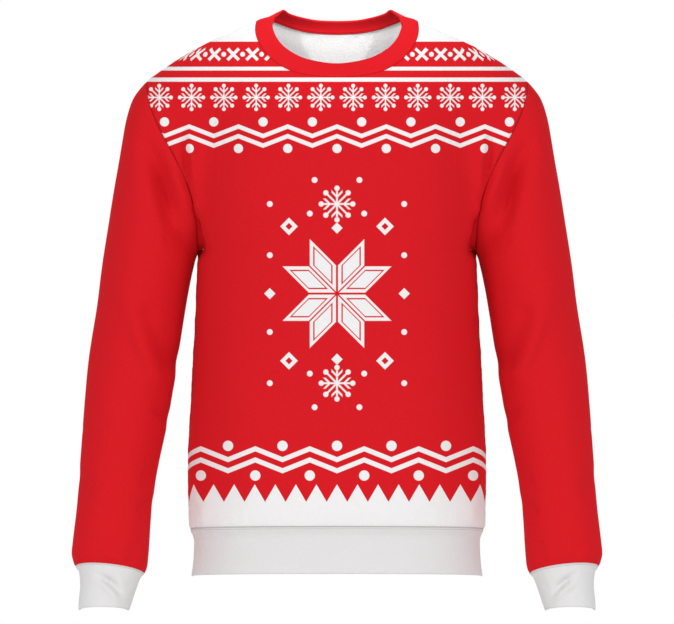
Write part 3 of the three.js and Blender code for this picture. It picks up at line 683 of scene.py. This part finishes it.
def rounded_edge(outer, inner, beyond):
    """Rows that round the edge from an outer row to an inner one"""
    middle = (outer + inner) / 2
    half = (outer - inner) / 2
    onward = unit(beyond) * np.linalg.norm(half, axis=-1, keepdims=True)
    angles = np.linspace(0, math.pi, EDGE_ARC_STEPS + 2)[1:-1]
    return [middle + half * math.cos(angle) + onward * math.sin(angle) for angle in angles]


def drawn_in(grid, wall, free):
    """The grid with its free ends drawn in by the radius of their rounded edges"""
    grid = grid.copy()
    for name, end, before in (("top", -1, -2), ("bottom", 0, 1)):
        if name in free:
            grid[end] += unit(grid[before] - grid[end]) * wall / 2
    return grid


def shell_rows(grid, closed, wall, free):
    """Rows of points all round a shell: up its outside, over, down its inside and back"""
    grid = drawn_in(grid, wall, free)
    inner = grid - grid_normals(grid, closed) * wall
    over = rounded_edge(grid[-1], inner[-1], grid[-1] - grid[-2]) if "top" in free else []
    under = rounded_edge(inner[0], grid[0], grid[0] - grid[1]) if "bottom" in free else []
    return [*grid, *over, *inner[::-1], *under], len(over)


def shell_mesh(name, rows, closed, rows_outside, rows_over):
    """A closed mesh over rows that go round a shell, with its inner faces told apart"""
    count = len(rows)
    columns = rows[0].shape[0]
    vertices = np.concatenate(rows) * METRES
    faces, inside = [], []
    first_inner = rows_outside + rows_over
    for r in range(count):
        above = (r + 1) % count
        is_inner = first_inner <= r < first_inner + rows_outside - 1
        for c in range(columns if closed else columns - 1):
            after = (c + 1) % columns
            corners = (r, c), (r, after), (above, after), (above, c)
            faces.append([row * columns + column for row, column in corners])
            inside.append(is_inner)
    if not closed:
        for r in range(rows_outside - 1):
            facing = first_inner + rows_outside - 1 - r
            for c in (0, columns - 1):
                ring = [(r, c), (r + 1, c), (facing - 1, c), (facing, c)]
                faces.append([row * columns + column for row, column in (ring if c == 0 else ring[::-1])])
                inside.append(False)
    mesh = bpy.data.meshes.new(name)
    mesh.from_pydata(vertices.tolist(), [], faces)
    mesh.shade_smooth()
    mesh.set_sharp_from_angle(angle=SHARP_EDGE)
    mesh.polygons.foreach_set("material_index", np.array(inside, dtype=np.int32))
    return mesh


def round_shell(values, count, rows_over):
    """Rows of values of the outer face, repeated for all the rows round a shell"""
    over = [values[-1]] * rows_over
    under = [values[0]] * (count - 2 * len(values) - rows_over)
    return np.concatenate([*values, *over, *values[::-1], *under]).astype(np.float32)


def make_piece(name, grid, closed, wall, materials, seams, tuck=None, free=(), printed=None, mirror=False):
    """One piece of cloth as an object, on the +X side or mirrored"""
    near = from_seams(grid, seams)
    printed = np.zeros_like(grid) if printed is None else printed
    if tuck:
        grid, near, printed = tucked(grid, tuck), repeated(near, tuck), repeated(printed, tuck)
    rows, rows_over = shell_rows(grid, closed, wall, free)
    near = round_shell(near, len(rows), rows_over)
    printed = round_shell(printed, len(rows), rows_over)
    if mirror:
        rows = [(row * (-1, 1, 1))[::-1] for row in rows]
        near = near.reshape(len(rows), -1)[:, ::-1].ravel()
    mesh = shell_mesh(name, rows, closed, len(grid), rows_over)
    for material in materials:
        mesh.materials.append(material)
    mesh.attributes.new("seam", "FLOAT", "POINT").data.foreach_set("value", near.ravel())
    mesh.attributes.new("print", "FLOAT_VECTOR", "POINT").data.foreach_set("vector", printed.ravel())
    piece = bpy.data.objects.new(name, mesh)
    bpy.context.scene.collection.objects.link(piece)
    return piece


class Term:
    """A number inside a material, whose arithmetic adds Math nodes to the material's tree"""

    def __init__(self, tree, socket):
        self.tree = tree
        self.socket = socket

    def math(self, operation, *others, clamp=False):
        node = self.tree.nodes.new("ShaderNodeMath")
        node.operation = operation
        node.use_clamp = clamp
        for entry, value in zip(node.inputs, (self, *others)):
            if isinstance(value, Term):
                self.tree.links.new(value.socket, entry)
            else:
                entry.default_value = value
        return Term(self.tree, node.outputs[0])

    def __add__(self, other):
        return self.math("ADD", other)

    def __sub__(self, other):
        return self.math("SUBTRACT", other)

    def __rsub__(self, other):
        return self.math("MULTIPLY", -1).math("ADD", other)

    def __mul__(self, other):
        return self.math("MULTIPLY", other)

    def __truediv__(self, other):
        return self.math("DIVIDE", other)

    def __abs__(self):
        return self.math("ABSOLUTE")

    __radd__ = __add__
    __rmul__ = __mul__

    def from_nearest(self, pitch, shift=0.0):
        """The signed distance from the nearest of a row of places one pitch apart"""
        moved = self - shift * pitch
        return moved - (moved / pitch).math("ROUND") * pitch


def least(*terms):
    return functools.reduce(lambda first, second: first.math("MINIMUM", second), terms)


def most(*terms):
    return functools.reduce(lambda first, second: first.math("MAXIMUM", second), terms)


def distance(x, z):
    return (x * x + z * z).math("SQRT")


# Figures of the print. Each gives how deep inside it a point lies, in millimetres.
def dot(x, z, radius):
    return radius - distance(x, z)


def band(z, top, bottom):
    return least(top - z, z - bottom)


def cross(x, z):
    rising = abs(x + z) / math.sqrt(2)
    falling = abs(x - z) / math.sqrt(2)
    return most(
        least(CROSS_HALF_STROKE - rising, CROSS_ARM - falling),
        least(CROSS_HALF_STROKE - falling, CROSS_ARM - rising),
    )


def snowflake(x, z):
    """Eight knobbed arms, with a pair of side branches on the upright and level ones"""
    far = most(abs(x), abs(z))
    near = least(abs(x), abs(z))
    slanting = (far + near) / math.sqrt(2)
    aside = (far - near) / math.sqrt(2)
    branch = abs(far - near - FLAKE_BRANCH) / math.sqrt(2)
    return most(
        least(FLAKE_HALF_STROKE - near, FLAKE_ARM - far),
        least(FLAKE_HALF_STROKE - aside, FLAKE_ARM - slanting),
        least(FLAKE_HALF_STROKE - branch, FLAKE_BRANCH_REACH - near),
        dot(far - FLAKE_ARM, near, FLAKE_KNOB),
        dot(slanting - FLAKE_ARM, aside, FLAKE_KNOB),
    )


def zigzag(x, z, row):
    """Two parallel strokes"""
    from_peak = abs(x.from_nearest(row["pitch"], row["shift"]))
    middle = row["peak"] - (row["stroke"] + row["apart"]) / 2
    sunk = from_peak * (2 * row["rise"] / row["pitch"])
    from_middle = abs(z + sunk - middle)
    return row["stroke"] / 2 - abs(from_middle - row["apart"] / 2)


def sawtooth(x, z):
    from_peak = abs(x.from_nearest(SAWTOOTH_PITCH))
    return SAWTOOTH_PEAK - z - from_peak * (2 * SAWTOOTH_HEIGHT / SAWTOOTH_PITCH)


def star(x, z):
    """Eight petals in pairs, each with a thin line let into it"""
    far = most(abs(x), abs(z))
    near = least(abs(x), abs(z))
    petal = least(near - STAR_GAP, STAR_PETAL - near, far - near - STAR_GAP, STAR_PETAL + near - far)
    low, high = STAR_INLAY
    inlay = least(petal - low, high - petal)
    return least(petal, -1 * inlay)


def diamond(x, z, size, hole):
    depth = size - abs(x) - abs(z)
    return least(depth, (size - hole) - depth) if hole else depth


def motif(x, z):
    """A folk star between two snowflakes, with diamonds and dots in its corners"""
    z = z - MOTIF_LEVEL
    width, height = abs(x), abs(z)
    flake_z = (height - MOTIF_FLAKE_LEVEL) / MOTIF_FLAKE_SCALE
    figures = [star(x, z), snowflake(x / MOTIF_FLAKE_SCALE, flake_z)]
    for from_middle, from_level, size, hole in MOTIF_DIAMONDS:
        figures.append(diamond(width - from_middle, height - from_level, size, hole))
    for from_middle, from_level, radius in MOTIF_DOTS:
        figures.append(dot(width - from_middle, height - from_level, radius))
    return most(*figures)


def print_depth(x, z, with_motif):
    """How deep inside the white of the print a point lies"""
    figures = [
        z - YOKE_END,
        cross(x.from_nearest(CROSS_PITCH, 0.5), z - CROSS_LEVEL),
        dot(x.from_nearest(CROSS_PITCH), z - CROSS_LEVEL, CROSS_DOT),
        snowflake(x.from_nearest(FLAKE_PITCH, 0.5), z - FLAKE_LEVEL),
        zigzag(x, z, UPPER_ZIGZAG),
        zigzag(x, z, LOWER_ZIGZAG),
        sawtooth(x, z),
    ]
    figures += [band(z, top, bottom) for top, bottom in STRIPES]
    for row in DOT_ROWS:
        from_dot = x.from_nearest(row["pitch"], row["shift"])
        figures.append(dot(from_dot, z - row["level"], row["radius"]))
    if with_motif:
        figures.append(motif(x, z))
    return most(*figures)


def new_material(name, roughness, sheen=0.0, tint=(1, 1, 1, 1)):
    material = bpy.data.materials.new(name)
    material.use_nodes = True
    tree = material.node_tree
    shader = next(node for node in tree.nodes if node.type == "BSDF_PRINCIPLED")
    shader.inputs["Roughness"].default_value = roughness
    shader.inputs["Sheen Weight"].default_value = sheen
    shader.inputs["Sheen Roughness"].default_value = 0.5
    shader.inputs["Sheen Tint"].default_value = tint
    shader.inputs["Specular IOR Level"].default_value = 0.06
    return material, tree, shader


def noise_term(tree, scale, detail):
    """Noise over the object, with a scale in waves a metre"""
    place = tree.nodes.new("ShaderNodeTexCoord")
    noise = tree.nodes.new("ShaderNodeTexNoise")
    noise.inputs["Scale"].default_value = scale
    noise.inputs["Detail"].default_value = detail
    tree.links.new(place.outputs["Object"], noise.inputs["Vector"])
    return Term(tree, noise.outputs["Fac"])


def mixed_colour(tree, share, first, second):
    """A colour between two, each of them a fixed colour or a socket"""
    mix = tree.nodes.new("ShaderNodeMix")
    mix.data_type = "RGBA"
    tree.links.new(share.socket, mix.inputs["Factor"])
    for entry, colour in (("A", first), ("B", second)):
        target = next(s for s in mix.inputs if s.name == entry and s.type == "RGBA")
        if isinstance(colour, tuple):
            target.default_value = colour
        else:
            tree.links.new(colour, target)
    return next(s for s in mix.outputs if s.type == "RGBA")


def print_place(tree):
    """The place on the print, or on a rib the depth below its seam, split into numbers"""
    places = tree.nodes.new("ShaderNodeAttribute")
    places.attribute_name = "print"
    split = tree.nodes.new("ShaderNodeSeparateXYZ")
    tree.links.new(places.outputs["Vector"], split.inputs["Vector"])
    return split


def darker(colour, share):
    return (*(channel * share for channel in colour[:3]), 1)


def crease(tree):
    """How close a point is to a sewn seam, from 0 away from it to 1 on it: there the seam sinks in and takes
    painted shade
    """
    place = tree.nodes.new("ShaderNodeAttribute")
    place.attribute_name = "seam"
    near = 1 - Term(tree, place.outputs["Fac"]) / CREASE_WIDTH
    return near.math("MAXIMUM", 0)


def cloth_surface(tree, shader, colour, height, shade=CREASE_SHADE, scale=640):
    """The colour with painted shade darkening it in the seams, and the nap of the cloth with its seams sunk in
    """
    near = crease(tree)
    shaded = mixed_colour(tree, near * shade, colour, SEAM_SHADOW)
    tree.links.new(shaded, shader.inputs["Base Color"])
    bump = tree.nodes.new("ShaderNodeBump")
    bump.inputs["Strength"].default_value = 1
    bump.inputs["Distance"].default_value = 1
    raised = noise_term(tree, scale, 3) * height - near * near * CREASE_DEPTH
    tree.links.new(raised.socket, bump.inputs["Height"])
    tree.links.new(bump.outputs["Normal"], shader.inputs["Normal"])


def mottled(tree, colour, depth, scale=520):
    """The colour with the fine mottling of its fibres"""
    share = (noise_term(tree, scale, 2) - 0.5) * 1.6 + 0.5
    return mixed_colour(tree, share.math("ADD", 0, clamp=True), darker(colour, 1 - depth), colour)


def fleece(name, printed, with_motif=False):
    """Red brushed fleece, with or without the white print"""
    material, tree, shader = new_material(name, 0.9, NAP_SHEEN, NAP_TINT)
    red = mottled(tree, RED, 0.1)
    colour = red
    if printed:
        place = print_place(tree)
        x, z = Term(tree, place.outputs["X"]), Term(tree, place.outputs["Z"])
        depth = print_depth(x, z, with_motif)
        ink = (depth / INK_EDGE).math("ADD", 0.5, clamp=True)
        colour = mixed_colour(tree, ink, red, mottled(tree, INK_WHITE, 0.05))
        tint = mixed_colour(tree, ink, NAP_TINT, WHITE_TINT)
        tree.links.new(tint, shader.inputs["Sheen Tint"])
    cloth_surface(tree, shader, colour, 0.00025)
    return material


def loopback(name):
    """The unprinted inside of the cloth, with its small loops, its white made brighter by painted light"""
    material, tree, shader = new_material(name, 0.95, RIB_SHEEN, WHITE_TINT)
    cloth_surface(tree, shader, mottled(tree, INSIDE_WHITE_AND_PAINTED_LIGHT, 0.12, 420), 0.0006, scale=420)
    return material


def rib(name, colour, depth, tint):
    """Fine smooth rib, with a line of painted shade along its stitches beside its seam"""
    material, tree, shader = new_material(name, 0.9, RIB_SHEEN, tint)
    below = Term(tree, print_place(tree).outputs["Z"])
    # The stitch line is painted shade: darker colour only, with no groove in the bump
    groove = (1 - abs(below - STITCH_LEVEL) / STITCH_WIDTH).math("MAXIMUM", 0)
    shade = darker(colour, STITCH_SHADE)
    plain = mottled(tree, colour, depth)
    cloth_surface(tree, shader, mixed_colour(tree, groove, plain, shade), 0.00022, RIB_CREASE_SHADE)
    return material


def make_pieces():
    inside = loopback("loopback_inside")
    plain = fleece("red_fleece", printed=False)
    white_rib = rib("white_rib_knit", RIB_WHITE, 0.06, WHITE_TINT)
    red_rib = rib("red_rib_knit", RED, 0.1, NAP_TINT)
    pieces = {}

    for side, name, seed in ((FRONT, "front_panel", 11), (BACK, "back_panel", 23)):
        grid = folded(panel_grid(side), False, [fold for fold in BODY_FOLDS if fold[0] == side])
        grid = sewn(loosened(grid, False, seed), False, ("bottom", "top", "sides"), seed)
        printed = print_places(grid, side)
        outside = fleece(f"{name}_print", printed=True, with_motif=side == FRONT)
        pieces[name] = make_piece(
            f"{name}_cloth", grid, False, CLOTH_WALL, (outside, inside),
            seams=("bottom", "sides"), printed=printed,
        )

    sleeve = folded(sleeve_grid(0, CUFF_SEAM, SLEEVE_ROWS), True, SLEEVE_FOLDS)
    sleeve = sewn(loosened(sleeve, True, 37), True, ("bottom", "top"), 41)
    cuff = folded(sleeve_grid(CUFF_SEAM, CUFF_END, CUFF_ROWS), True, CUFF_FOLDS)
    cuff = sewn(cuff, True, ("top",), 53, 0.4)
    for name, mirror in (("left", False), ("right", True)):
        pieces[f"sleeve_{name}"] = make_piece(
            f"sleeve_{name}_cloth", sleeve, True, CLOTH_WALL, (plain, inside),
            seams=("top",), tuck="top", mirror=mirror,
        )
        pieces[f"cuff_{name}"] = make_piece(
            f"cuff_{name}_rib", cuff, True, RIB_WALL, (white_rib, white_rib),
            seams=("top",), tuck="top", free=("bottom",), printed=depths_below(cuff), mirror=mirror,
        )

    band_grid = sewn(waistband_grid(), True, ("top",), 61, 0.5)
    pieces["waistband"] = make_piece(
        "waistband_rib", band_grid, True, RIB_WALL, (white_rib, white_rib),
        seams=("top",), tuck="top", free=("bottom",), printed=depths_below(band_grid),
    )
    collar = sewn(collar_grid(), True, ("bottom",), 71, 0.1)
    pieces["collar"] = make_piece(
        "collar_rib", collar, True, RIB_WALL, (red_rib, red_rib),
        seams=("bottom",), tuck="bottom", free=("top",),
    )
    return pieces


def make_camera():
    data = bpy.data.cameras.new("camera")
    data.sensor_width = SENSOR
    data.lens = CAMERA_LENS
    camera = bpy.data.objects.new("camera", data)
    camera.location = (0, -CAMERA_DISTANCE * METRES, CAMERA_LEVEL * METRES)
    camera.rotation_euler = (math.pi / 2, 0, 0)
    bpy.context.scene.collection.objects.link(camera)
    bpy.context.scene.camera = camera


def make_panel_light(name, place, aim, size, power):
    data = bpy.data.lights.new(name, "AREA")
    data.shape = "DISK"
    data.size = size
    data.energy = power
    put_light(name, data, place, aim)


def make_spot(name, place, aim, size, power):
    data = bpy.data.lights.new(name, "SPOT")
    data.shadow_soft_size = size / 2
    data.spot_size = SPOT_CONE
    data.spot_blend = 1
    data.energy = power
    put_light(name, data, place, aim)


def put_light(name, data, place, aim):
    light = bpy.data.objects.new(name, data)
    light.location = place
    towards = np.array(aim, float) - np.array(place, float)
    flat = math.hypot(towards[0], towards[1])
    light.rotation_euler = (math.atan2(flat, -towards[2]), 0, math.atan2(towards[1], towards[0]) - math.pi / 2)
    bpy.context.scene.collection.objects.link(light)


def make_studio():
    scene = bpy.context.scene
    scene.view_settings.view_transform = "Standard"
    world = bpy.data.worlds.new("studio")
    world.use_nodes = True
    tree = world.node_tree
    surround = tree.nodes["Background"]
    surround.inputs["Color"].default_value = (1, 1, 1, 1)
    path = tree.nodes.new("ShaderNodeLightPath")
    seen = Term(tree, path.outputs["Is Camera Ray"])
    strength = seen * (1 - AMBIENT) + AMBIENT
    tree.links.new(strength.socket, surround.inputs["Strength"])
    scene.world = world
    for name, light in LIGHTS.items():
        make_panel_light(name, *light)
    for name, light in SPOTS.items():
        make_spot(name, *light)
    make_floor()


def make_floor():
    mesh = bpy.data.meshes.new("floor")
    angles = np.linspace(0, 2 * math.pi, FLOOR_SIDES, endpoint=False)
    rim = [(FLOOR_RADIUS * math.cos(a), FLOOR_RADIUS * math.sin(a), FLOOR_LEVEL) for a in angles]
    mesh.from_pydata(rim, [], [range(FLOOR_SIDES)])
    material, tree, shader = new_material("pale_floor", 0.8, 0)
    shader.inputs["Base Color"].default_value = FLOOR_COLOUR
    mesh.materials.append(material)
    floor = bpy.data.objects.new("floor", mesh)
    bpy.context.scene.collection.objects.link(floor)


make_camera()
make_studio()
pieces = make_pieces()
for node, piece in pieces.items():
    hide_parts(node)
    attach(piece, "root")
